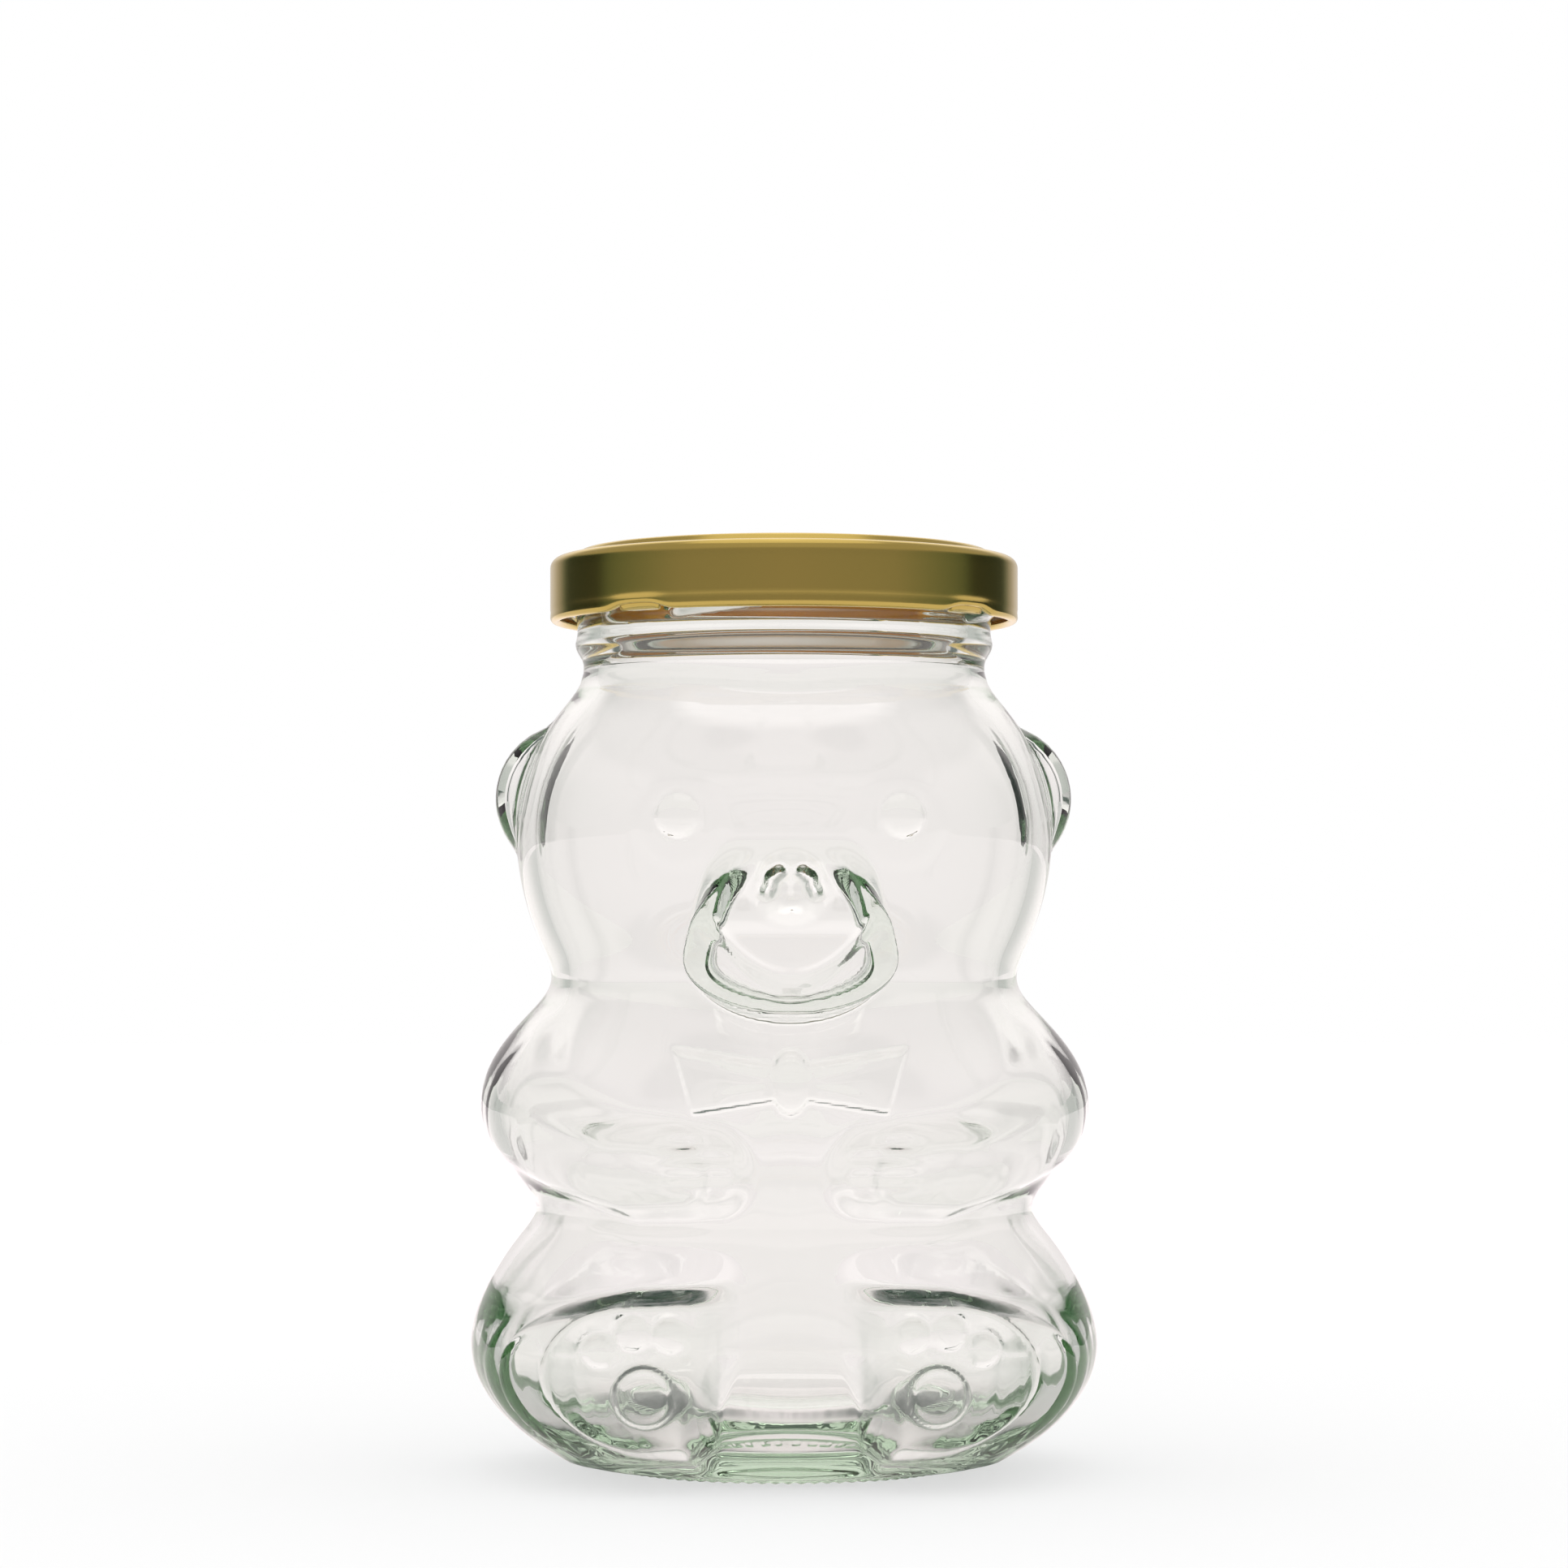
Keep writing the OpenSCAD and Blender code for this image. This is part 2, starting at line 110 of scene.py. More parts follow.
# The bow tie: wings that widen and lean outward, two folds in each, and a knot
BOW_Z, BOW_HALF_W, BOW_LEAN = 54.9, 14.6, 0.28
BOW_INNER_HALF_H, BOW_MORE_HALF_H, BOW_H, BOW_EDGE = 2.4, 2.4, 1.15, 1.05
BOW_FOLD_SLOPES, BOW_FOLD_H, BOW_FOLD_HALF = (-0.2, 0.2), 0.22, 0.7
BOW_FOLD_X, BOW_FOLD_SOFT = (2.6, 11.0), (2, 5)
KNOT_HALF_W, KNOT_HALF_H, KNOT_H, KNOT_POWER = 2.75, 4.3, 1.9, 0.8

# The inside of the glass follows the outside, with softer edges, and its fine relief in part
WALL, MAX_SLOPE_SHARE, NECK_START_Z, NECK_SOFT = 2.45, 1.5, 100, 0.6
INSET, INNER_FINE, EAR_INSET, INNER_EAR_SOFT = 2.5, 0.45, 2.0, 1.2
ARM_BLUR, LEG_BLUR, LIMB_BLUR = 5.4, 6.8, 0.8
FLOOR_Z, FLOOR_CORNER_R = 6.0, 6.0
# At the sides it follows the limbs, and the glass is thinner round the waist and thicker low on the flanks
SIDE_DEG, SIDE_SOFT_DEG = 46, 16
WAIST_Z, WAIST_SOFT, WAIST_THIN = (20, 46), 6, 0.5
FLANK_Z, FLANK_SOFT, FLANK_THICK = 19, 9, 0.7
# Low down its surface is a little streaky
STREAKS, STREAK_H, STREAK_Z, STREAK_SOFT = ((61, 0, 0), (97, 40, 0), (143, 0, 4)), 0.014, 26, 8

# The neck: its outline as height and radius, and its threads
RIM_Z = 126.95
NECK = ((112, 28.35), (113.0, 28.35), (113.7, 28.55), (114.4, 28.95), (115.1, 29.35), (115.8, 29.5),
        (116.4, 29.42), (117.0, 29.27), (117.6, 29.2), (118.4, 29.25), (119, 29.3), (125.9, 29.3),
        (126.6, 29.05), (126.9, 28.6))
THREADS, THREAD_LOW, THREAD_DEG, THREAD_LOW_Z, THREAD_TILT, THREAD_R = 4, -31.5, 70.0, 118.3, 6.2, 31.0
THREAD_FORM = ((-0.2, 0), (0.15, 0.6), (0.55, 1.5), (0.9, 1.7), (1.2, 1.5), (1.6, 0.6), (2.0, 0))
THREAD_END_DEG, THREAD_END_SOFT = 1.5, 4

# The underside of the jar as radius and height, and the foot ring with its small scallops
UNDERSIDE_MID_Z = 2.85
UNDERSIDE = ((4, 2.75), (9, 2.4), (14, 1.7), (18, 1.05), (20.4, 0.75), (21.1, 0.55), (21.5, 0.2),
             (21.9, 0.04), (22.6, 0))
SCALLOPS, SCALLOP_H = 88, 0.16
# Radius, height and share of the scallops
FOOT_RING = ((23.4, 0.0, 1), (24.2, 0.0, 1), (25.0, 0.06, 0.7), (25.5, 0.3, 0.2), (25.65, 0.6, 0))
# The groove between the ring and the body: its radii and height, and how the body curves up from it
GROOVE_R, GROOVE_Z, GROOVE_SHARES, GROOVE_CURVE = (26.4, 27.4), 0.72, (0.35, 0.7), 1.6
RIM = ((28.5, 126.93), (27.6, RIM_Z), (26.8, RIM_Z), (26.35, 126.85), (26.08, 126.6))
# The raised middle of the inside floor, as share of its radius and height
INNER_FLOOR, INNER_FLOOR_MID_Z = ((0.85, 6.05), (0.7, 6.3), (0.5, 6.8), (0.3, 7.3), (0.12, 7.6)), 7.7

# Rings of the jar's mesh as spans of (from, to, count), and how much closer its columns lie at the front
COLS, FRONT_DENSITY, SIDE_DENSITY = 280, 0.68, 0.06
BODY_SPANS = ((1.4, 6, 9), (6, 28, 54), (28, 35, 9), (35, 49, 30), (49, 61, 36), (61, 88, 78), (88, 96, 16),
              (96, 111.4, 14))
NECK_SPANS, NECK_TOP_ZS = ((112, 117.8, 18), (117.8, 125.9, 36)), (126.3, 126.6, 126.8)
MOUTH_ZS = (125.9, 122, 117, 114)
INNER_SPANS, CORNER_SPAN = ((112, 96, 12), (96, 60, 64), (60, 12, 70)), (80, 0, 9)

# The lid
LID_R, SHEET, LID_BOTTOM_Z, LID_TOP_Z, LID_COLS = 33.05, 0.25, 118.9, 129.15, 256
LID_PANEL_DROP, LID_CHANNEL_UP = 0.7, 0.9
# Its top as radii of the flat panel, then radius and height over the panel, the top and the channel
PANEL_RS, PANEL_EDGE = (0.4, 8, 16, 23, 25.0), ((25.45, 0.03), (25.75, 0.14), (25.98, 0.4))
STACKING_RING = ((26.15, -0.12), (26.4, -0.02), (27.0, 0), (27.8, 0), (28.35, -0.02), (28.7, -0.12),
                 (28.95, -0.35))
CHANNEL = ((29.15, 0.28), (29.4, 0.08), (29.75, 0), (30.6, 0), (31.2, 0))
SHOULDER_R, SHOULDER_POINTS = 1.5, 9
# The skirt, and its foot as distance from the skirt and height over the lid's bottom
SKIRT_TOP_Z, SKIRT_END_UP, SKIRT_POINTS, SKIRT_FOOT = 125.6, 1.9, 9, ((-0.05, 1.45), (-0.02, 1.1))
CURL_R, CURL_END_DEG, CURL_POINTS = 0.72, -250, 14
# Its lugs reach in under the threads
LUG_MID, LUG_DEG, LUGS = THREAD_LOW - 8, 12.0, 4
LUG_SECTION = ((32.45, 120.35), (32.3, 119.6), (31.6, 119.1), (30.4, 118.98), (29.85, 119.1),
               (29.78, 119.4), (29.9, 119.72), (30.5, 119.86), (31.3, 119.9), (32.0, 120.2))
LUG_ROOT_R, LUG_TAPER, LUG_TURNS = 32.2, 0.75, 13
# The curl is pressed in and up at each lug
PRESS_DEG, PRESS_H, PRESS_IN, PRESS_UP, PRESS_FADE = 8.0, 2.6, 0.2, 0.9, 1.5

SEAL_COLS = 160
SEAL_SECTION = ((26.95, RIM_Z), (30.95, RIM_Z), (31.0, 127.3), (30.8, 127.72), (30.2, 127.84),
                (28.9, 127.8), (27.6, 127.84), (27.1, 127.7), (26.9, 127.3))

# Colours
GLASS_COLOR, GLASS_DENSITY, GLASS_IOR = (0.4, 0.63, 0.38, 1), 17.0, 1.5
GOLD_COLOR, GOLD_ROUGHNESS = (0.6, 0.45, 0.12, 1), 0.19
# The orange is painted shade of the gold lacquer, laid in a band inside the skirt
LACQUER_PALE, LACQUER_PAINTED_SHADE_ORANGE, LACQUER_ROUGHNESS = (1, 0.99, 0.97, 1), (0.9, 0.4, 0.04, 1), 0.3
# Heights in metres between which the lacquer's colours change, and where. The orange band between them is
# painted shade
LACQUER_SHADE_BAND_Z = (0.1214, 0.1294)
LACQUER_AND_PAINTED_SHADE_STOPS = ((0.0, LACQUER_PALE), (0.16, LACQUER_PAINTED_SHADE_ORANGE), (0.45, LACQUER_PAINTED_SHADE_ORANGE), (0.6, LACQUER_PALE))
COMPOUND_COLOR, COMPOUND_ROUGHNESS = (0.72, 0.7, 0.66, 1), 0.6
WHITE = (1, 1, 1, 1)


def sin_d(a):
    return np.sin(np.radians(a))


def cos_d(a):
    return np.cos(np.radians(a))


def blend_max(a, b, k):
    """Smooth maximum of two lengths, rounded over k."""
    soft = 0.36 * k
    return np.maximum(a, b) + soft * np.log1p(np.exp(-np.abs(a - b) / soft))


def blend_min(a, b, k):
    return -blend_max(-a, -b, k)


def soft_step(t):
    t = np.clip(t, 0, 1)
    return t * t * (3 - 2 * t)


# The body and its limbs
def section_r(w, d, phi):
    sides = (np.abs(sin_d(phi)) / w) ** SECTION_N + (np.abs(cos_d(phi)) / d) ** SECTION_N
    return sides ** (-1 / SECTION_N)


def ball_r(ball, phi, z):
    half_w, front_d, back_d, mid_z, up, down = ball
    away = (z - mid_z) / np.where(z > mid_z, up, down)
    depth = np.where(cos_d(phi) > 0, front_d, back_d)
    return np.sqrt(np.maximum(0.0001, 1 - away ** 2)) * section_r(half_w, depth, phi)


def core_r(phi, z):
    """Radius of the body without its face and limbs. The waist and the chin are softest at the front."""
    more = 1 + (FRONT_BLEND - 1) * soft_step(1 - np.abs(phi) / FRONT_REACH)
    low = blend_max(ball_r(BASE_BALL, phi, z), ball_r(TORSO_BALL, phi, z), WAIST_BLEND * more)
    whole = blend_max(low, ball_r(HEAD_BALL, phi, z), CHIN_BLEND * more)
    return blend_max(whole, THROAT_R, SHOULDER_BLEND)


def boss(d, w, h, edge, crown, k):
    """Relief at distance d from the middle line of a form w wide and h high, with sides edge wide."""
    return blend_min((w - d) * h / edge, h - crown * (d / w) ** 2, k)


def limb(phi, z, points):
    """Relief of a limb that runs from point to point."""
    arc_mm = math.pi / 180 * LIMB_CIRCLE_R
    px, pz = np.abs(phi) * arc_mm, z
    out = np.full(np.broadcast(phi, z).shape, -1e3)
    for a, b in zip(points[:-1], points[1:]):
        a, b = np.array((a[0] * arc_mm, *a[1:]), float), np.array((b[0] * arc_mm, *b[1:]), float)
        run = b[:2] - a[:2]
        t = np.clip(((px - a[0]) * run[0] + (pz - a[1]) * run[1]) / (run @ run), 0, 1)
        mid_x, mid_z, half_w, height, upper_edge, lower_edge = [a[i] + (b[i] - a[i]) * t for i in range(6)]
        d = np.hypot(px - mid_x, pz - mid_z)
        upper = (1 + (pz - mid_z) / np.maximum(d, 0.01)) / 2
        edge = lower_edge + (upper_edge - lower_edge) * upper
        out = np.maximum(out, boss(d, half_w, height, edge, LIMB_CROWN, LIMB_FILLET))
    return np.maximum(out, LOWEST_RELIEF)


def arm_relief(phi, z):
    return blend_max(0, limb(phi, z, ARM), LIMB_FILLET)


def leg_relief(phi, z):
    """Relief of the legs, with the flat soles and the gap between the feet."""
    core, front = core_r(phi, z), cos_d(phi) > 0
    gap_x, gap_w = np.interp(z, FOOT_GAP_Z, FOOT_GAP_X), np.interp(z, FOOT_GAP_Z, FOOT_GAP_W)
    gap = soft_step((np.abs(core * sin_d(phi)) - gap_x) / gap_w + 0.5)
    relief = blend_max(0, limb(phi, z, LEG), LIMB_FILLET) * np.where(front, gap, 1)
    sole = SOLE_D / cos_d(np.minimum(SOLE_REACH_DEG, np.abs(np.abs(phi) - SOLE_YAW)))
    flat = np.maximum(0, blend_min(core + relief, sole, SOLE_FILLET) - core)
    return np.where((z < SOLE_TOP_Z) & front, flat, relief)


# The face and the ears
def ear_end(phi, z, inset):
    """Outer end of a ray in an ear, or in the hollow of an ear. In plan it is an ellipse, p by q."""
    s2 = 1 - ((z - EAR_MID[2]) / (EAR_R - inset)) ** 2
    s = np.sqrt(np.maximum(EAR_TIP, s2))
    p, q = (EAR_R - inset) * s, (EAR_HALF_THICK - inset) * s
    ux, uy = np.abs(sin_d(phi)), -cos_d(phi)
    aa = (ux / p) ** 2 + (uy / q) ** 2
    bb = ux * EAR_MID[0] / p ** 2 + uy * EAR_MID[1] / q ** 2
    cc = (EAR_MID[0] / p) ** 2 + (EAR_MID[1] / q) ** 2 - 1
    inside = bb ** 2 - aa * cc
    return np.where((inside > 0) & (s2 > EAR_TIP), (bb + np.sqrt(np.maximum(inside, 0))) / aa, 0)


def muzzle_relief(phi, z, r, inset):
    """Relief of the muzzle. The hollow in the glass behind it is narrower by inset."""
    x = r * sin_d(phi)
    above = np.maximum(0, z - MUZZLE_Z)
    half_w = MUZZLE_HALF_W - MUZZLE_IN_W * inset
    low = np.minimum(0, z - MUZZLE_Z) / (MUZZLE_DOWN - inset) * half_w
    narrow = (MUZZLE_NARROW + MUZZLE_IN_NARROW * inset) * above ** 2 / (above + MUZZLE_NARROW_FROM)
    top = soft_step((z - MUZZLE_TOP_Z) / MUZZLE_TOP_REACH)
    edge = MUZZLE_EDGE + (MUZZLE_TOP_EDGE - MUZZLE_EDGE) * top
    soft = MUZZLE_SOFT + MUZZLE_TOP_SOFT * top
    form = boss(np.hypot(x, low) + narrow, half_w, MUZZLE_H, edge, MUZZLE_CROWN, soft)
    form = blend_max(0, np.maximum(form, LOWEST_RELIEF), MUZZLE_FILLET)
    fade = 1 - soft_step((z + MUZZLE_IN_FADE * inset - MUZZLE_FADE_Z) / MUZZLE_FADE)
    return np.where(cos_d(phi) > 0, form * fade, 0)


# Fine relief of the front, at x and z in millimetres
def disc(x, z, mid, r, h, edge, tall=1.0):
    """A raised disc of height h with a soft edge, tall times as high as it is wide."""
    d = np.hypot(x - mid[0], (z - mid[1]) / tall)
    return h * soft_step((r - d) / edge + 0.5)


def dome(x, z, mid, r, h):
    d2 = ((x - mid[0]) ** 2 + (z - mid[1]) ** 2) / r ** 2
    return h * np.sqrt(np.maximum(0, 1 - d2))


def from_line(x, z, points):
    """Distance to the line through points of (x, z)."""
    best = np.full(x.shape, 1e3)
    for (ax, az), (bx, bz) in zip(points[:-1], points[1:]):
        rx, rz = bx - ax, bz - az
        t = np.clip(((x - ax) * rx + (z - az) * rz) / (rx * rx + rz * rz), 0, 1)
        best = np.minimum(best, np.hypot(x - ax - rx * t, z - az - rz * t))
    return best


def ridge(d, half):
    """A rounded ridge, 1 high, at distance d from its middle line."""
    return np.exp(-(d / half) ** 2)


def between(x, ends, soft):
    """1 between two ends and 0 outside them, with soft ends."""
    return soft_step((x - ends[0]) / soft[0]) * soft_step((ends[1] - x) / soft[1])


def bow_relief(x, z):
    ax, dz = np.abs(x), z - BOW_Z
    wing = BOW_INNER_HALF_H + BOW_MORE_HALF_H * ax / BOW_HALF_W
    lean = BOW_HALF_W + BOW_LEAN * dz
    inside = np.minimum(wing - np.abs(dz), lean - ax)
    body = BOW_H * soft_step(inside / BOW_EDGE)
    folds = 0.0
    for slope in BOW_FOLD_SLOPES:
        fold = ridge(dz - slope * ax, BOW_FOLD_HALF)
        folds = folds + BOW_FOLD_H * fold * between(ax, BOW_FOLD_X, BOW_FOLD_SOFT)
    knot_d = np.hypot(x / KNOT_HALF_W, dz / KNOT_HALF_H)
    knot = KNOT_H * np.sqrt(np.maximum(0, 1 - knot_d ** 2)) ** KNOT_POWER
    return np.maximum(body + np.where(inside > 0, folds, 0), knot)


def nose_relief(x, z):
    nose = disc(x, z, (0, NOSE_Z), NOSE_R, NOSE_H, NOSE_EDGE, NOSE_TALL)
    nostrils = np.maximum(0, 1 - from_line(np.abs(x), z, NOSTRIL) / NOSTRIL_HALF)
    return nose - NOSTRIL_DEPTH * nostrils


def fine_relief(x, z):
    """Eyes, mouth, fingers, chest fold and pads."""
    ax = np.abs(x)
    out = dome(ax, z, (EYE_X, EYE_Z), EYE_R, EYE_H)
    out = out + disc(ax, z, (EYE_X, EYE_Z - SOCKET_DROP), SOCKET_R, SOCKET_H, SOCKET_EDGE)
    smile_z = SMILE_Z + SMILE_RISE * (ax / SMILE_RISE_X) ** 2
    smile = ridge(z - smile_z, SMILE_HALF) * soft_step((SMILE_END - ax) / SMILE_END_SOFT)
    lip = ridge(z - smile_z + LIP_DROP, LIP_HALF) * soft_step((LIP_END - ax) / LIP_END_SOFT)
    out = out - SMILE_DEPTH * smile + LIP_H * lip
    out = out - SNOUT_LINE_DEPTH * ridge(from_line(x, z, SNOUT_LINE), SNOUT_LINE_HALF)
    thumb_d = np.hypot((ax - THUMB_X) / THUMB_HALF_W, (z - THUMB_Z) / THUMB_HALF_H)
    out = out - THUMB_DEPTH * ridge(thumb_d, 1)
    for mid_z, half, depth in FINGER_LINES:
        out = out - depth * ridge(z - mid_z, half) * between(ax, HAND_X, HAND_SOFT)
    out = out + CHEST_FOLD_H * ridge(from_line(ax, z, CHEST_FOLD), CHEST_FOLD_HALF)
    for toe in TOES:
        out = out + dome(ax, z, toe, TOE_R, TOE_H)
    out = out + disc(ax, z, HEEL, HEEL_R, HEEL_H, HEEL_EDGE)
    return out - disc(ax, z, HEEL, HEEL_FLAT_R, HEEL_FLAT_DEPTH, HEEL_FLAT_EDGE)


# The outside and the inside of the glass
def with_face(phi, z, body, core, inset, share):
    """The muzzle and a share of the fine relief, added to a body."""
    face = np.maximum(body, body + muzzle_relief(phi, z, core, inset))
    return face + share * np.where(cos_d(phi) > 0, fine_relief(face * sin_d(phi), z), 0)


def outer_r(phi, z):
    """Radius of the outside. The hollow doesn't follow the nose, the bow tie and the dish of an ear."""
    core = core_r(phi, z)
    body = core + np.maximum(arm_relief(phi, z), leg_relief(phi, z))
    ears = ear_end(phi, z, 0)
    dish_d = np.hypot((np.abs(phi) - EAR_DISH_DEG) / EAR_DISH_HALF_DEG, (z - EAR_DISH_Z) / EAR_DISH_HALF_H)
    for reach in EAR_DISH_STEPS:
        ears = ears - EAR_DISH_DEPTH * soft_step((reach - dish_d) / EAR_DISH_EDGE)
    face = with_face(phi, z, body, core, 0, 1)
    x = face * sin_d(phi)
    face = face + np.where(cos_d(phi) > 0, nose_relief(x, z) + bow_relief(x, z), 0)
    return blend_max(face, ears, EAR_FILLET)


# Cells of the grid on which the limbs are blurred, and its lowest and highest z
GRID_DEG, GRID_Z, GRID_LOW, GRID_HIGH = 0.5, 0.25, -20.0, 130.0


def blurred(field, sigma, axis):
    """A grid blurred along one axis by a Gaussian of sigma cells. Its ends meet."""
    n = field.shape[axis]
    kept = np.exp(-2 * (math.pi * sigma * np.fft.rfftfreq(n)) ** 2)
    kept = kept[:, None] if axis == 0 else kept[None, :]
    return np.fft.irfft(np.fft.rfft(field, axis=axis) * kept, n, axis)


def blur_mm(field, sigma):
    cell = LIMB_CIRCLE_R * math.radians(GRID_DEG)
    return blurred(blurred(field, sigma / cell, 1), sigma / GRID_Z, 0)


def soft_limb_grid():
    """Relief of the limbs as the hollow in the glass follows it: softly."""
    phi, z = np.meshgrid(np.arange(-180, 180, GRID_DEG), np.arange(GRID_LOW, GRID_HIGH, GRID_Z))
    both = np.maximum(blur_mm(arm_relief(phi, z), ARM_BLUR), blur_mm(leg_relief(phi, z), LEG_BLUR))
    return blur_mm(both, LIMB_BLUR)


def from_grid(field, phi, z):
    """Value of a grid at phi and z, between its points."""
    u, v = (phi + 180) / GRID_DEG, (z - GRID_LOW) / GRID_Z
    i, j = np.floor(u).astype(int), np.floor(v).astype(int)
    s, t, n = u - i, v - j, field.shape[1]
    low = field[j, i % n] * (1 - s) + field[j, (i + 1) % n] * s
    high = field[j + 1, i % n] * (1 - s) + field[j + 1, (i + 1) % n] * s
    return low * (1 - t) + high * t


soft_limbs = soft_limb_grid()


def wall_at(phi, z, side):
    """Glass between the core and the hollow. Side is 1 at the sides and 0 at the front and back."""
    slope = core_r(phi, z + 0.5) - core_r(phi, z - 0.5)
    even = np.interp(z, (NECK_START_Z, BODY_TOP_Z), (WALL, THROAT_R - MOUTH_R))
    wall = even * np.minimum(MAX_SLOPE_SHARE, np.sqrt(1 + slope ** 2))
    thin = soft_step((z - WAIST_Z[0]) / WAIST_SOFT) * soft_step((WAIST_Z[1] - z) / WAIST_SOFT)
    thick = soft_step((FLANK_Z - z) / FLANK_SOFT)
    return wall * (1 - WAIST_THIN * side * thin + FLANK_THICK * side * thick)


def inner_r(phi, z):
    core = core_r(phi, z)
    side = soft_step((np.abs(phi) - SIDE_DEG) / SIDE_SOFT_DEG)
    hollow = core - wall_at(phi, z, side)
    exact = np.maximum(arm_relief(phi, z), leg_relief(phi, z))
    limbs = side * exact + (1 - side) * from_grid(soft_limbs, phi, z)
    body = np.where(z > NECK_START_Z, blend_max(hollow, MOUTH_R, NECK_SOFT), hollow) + limbs
    streak = sum(sin_d(waves * phi + start + rise * z) for waves, start, rise in STREAKS)
    body = body + STREAK_H * streak * soft_step((STREAK_Z - z) / STREAK_SOFT)
    face = with_face(phi, z, body, core, INSET, INNER_FINE)
    up = np.clip(z - FLOOR_Z, 0, FLOOR_CORNER_R)
    corner = FLOOR_CORNER_R - np.sqrt(FLOOR_CORNER_R ** 2 - (FLOOR_CORNER_R - up) ** 2)
    return blend_max(face, ear_end(phi, z, EAR_INSET), INNER_EAR_SOFT) - corner


def neck_r(phi, z):
    base = np.interp(z, [p[0] for p in NECK], [p[1] for p in NECK])
    out = np.zeros(np.broadcast(phi, z).shape)
    for k in range(THREADS):
        mid = THREAD_LOW + THREAD_DEG / 2 + 90 * k
        away = (phi - mid + 180) % 360 - 180
        along = sin_d(away) + math.sin(math.radians(THREAD_DEG / 2))
        z0 = THREAD_LOW_Z + THREAD_R * math.tan(math.radians(THREAD_TILT)) * along
        form = np.interp(z - z0, [p[0] for p in THREAD_FORM], [p[1] for p in THREAD_FORM])
        ends = soft_step((THREAD_DEG / 2 + THREAD_END_DEG - np.abs(away)) / THREAD_END_SOFT)
        out = np.maximum(out, form * ends)
    return base + out


# Meshes from rings of points
def grid_mesh(name, rings, close_low, close_high):
    """A closed mesh from rings with as many points each. Each closed end is a fan to a point."""
    n, last = len(rings[0]), len(rings) - 1
    i = np.arange(n)
    k = (i + 1) % n
    verts, faces = list(rings), []
    for j in range(last):
        a, b = n * j, n * (j + 1)
        faces += np.stack([a + i, a + k, b + k, b + i], 1).tolist()
    count = n * len(rings)
    for a, point, turn in ((0, close_low, False), (n * last, close_high, True)):
        if point is not None:
            verts.append(np.array([point], float))
            fan = np.stack([a + k, a + i, np.full(n, count)], 1)
            faces += (fan[:, ::-1] if turn else fan).tolist()
            count += 1
    mesh = bpy.data.meshes.new(name)
    mesh.from_pydata((np.concatenate(verts) * MM).tolist(), [], faces)
    return placed(name, mesh)


def placed(name, mesh):
    mesh.validate()
    mesh.update()
    mesh.shade_smooth()
    ob = bpy.data.objects.new(name, mesh)
    bpy.context.scene.collection.objects.link(ob)
    return ob


def ring_at(r, phi, z):
    r, z = np.broadcast_to(r, phi.shape), np.broadcast_to(z, phi.shape)
    return np.stack([r * sin_d(phi), AXIS_Y - r * cos_d(phi), z], 1)


def even_phi(n):
    return np.arange(n) * 360.0 / n


def steps(spans):
    """Heights in spans of (from, to, count). Only the last span has its end too."""
    parts = [np.linspace(*span, endpoint=False) for span in spans[:-1]]
    return np.concatenate(parts + [np.linspace(*spans[-1])])


def jar_mesh():
    """From the middle of the underside up the outside, over the rim and down the inside."""
    even = even_phi(COLS) - 180
    phi = even + np.degrees(SIDE_DENSITY * sin_d(2 * even) - FRONT_DENSITY * sin_d(even))
    rings = [ring_at(r, phi, z) for r, z in UNDERSIDE]
    scallop = SCALLOP_H * (1 - np.cos(np.radians(phi) * SCALLOPS))
    rings += [ring_at(r, phi, z + scallop * share) for r, z, share in FOOT_RING]
    rings.append(ring_at(GROOVE_R[0], phi, GROOVE_Z))
    for t in GROOVE_SHARES:
        r = GROOVE_R[1] + (outer_r(phi, BODY_BOTTOM_Z) - GROOVE_R[1]) * t
        rings.append(ring_at(r, phi, GROOVE_Z + (BODY_BOTTOM_Z - GROOVE_Z) * t ** GROOVE_CURVE))
    rings += [ring_at(outer_r(phi, np.full(COLS, z)), phi, z) for z in steps(BODY_SPANS)]
    neck_zs = np.append(steps(NECK_SPANS), NECK_TOP_ZS)
    rings += [ring_at(neck_r(phi, np.full(COLS, z)), phi, z) for z in neck_zs]
    rings += [ring_at(r, phi, z) for r, z in RIM]
    rings += [ring_at(MOUTH_R, phi, z) for z in MOUTH_ZS]
    corner_zs = FLOOR_Z + FLOOR_CORNER_R * (1 - cos_d(np.linspace(*CORNER_SPAN)))
    inner_zs = np.append(steps(INNER_SPANS), corner_zs)
    rings += [ring_at(inner_r(phi, np.full(COLS, z)), phi, z) for z in inner_zs]
    edge = inner_r(phi, np.full(COLS, FLOOR_Z))
    rings += [ring_at(edge * share, phi, z) for share, z in INNER_FLOOR]
    return grid_mesh("jar_glass", rings, (0, AXIS_Y, UNDERSIDE_MID_Z), (0, AXIS_Y, INNER_FLOOR_MID_Z))


# The lid
def arc(cx, cz, r, start, end, n):
    a = np.linspace(start, end, n)
    return [(cx + r * cos_d(v), cz + r * sin_d(v)) for v in a]


def lid_outline():
    """Outer surface of the lid, from the middle of the top to the end of the curl."""
    top, panel, channel = LID_TOP_Z, LID_TOP_Z - LID_PANEL_DROP, RIM_Z + LID_CHANNEL_UP + SHEET
    points = [(r, panel) for r in PANEL_RS]
    for base, part in ((panel, PANEL_EDGE), (top, STACKING_RING), (channel, CHANNEL)):
        points += [(r, base + up) for r, up in part]
    points += arc(LID_R - SHOULDER_R, channel - SHOULDER_R, SHOULDER_R, 90, 0, SHOULDER_POINTS)
    points += [(LID_R, z) for z in np.linspace(SKIRT_TOP_Z, LID_BOTTOM_Z + SKIRT_END_UP, SKIRT_POINTS)]
    points += [(LID_R + out, LID_BOTTOM_Z + up) for out, up in SKIRT_FOOT]
    points += arc(LID_R - CURL_R, LID_BOTTOM_Z + CURL_R, CURL_R, 0, CURL_END_DEG, CURL_POINTS)
    return np.array(points)


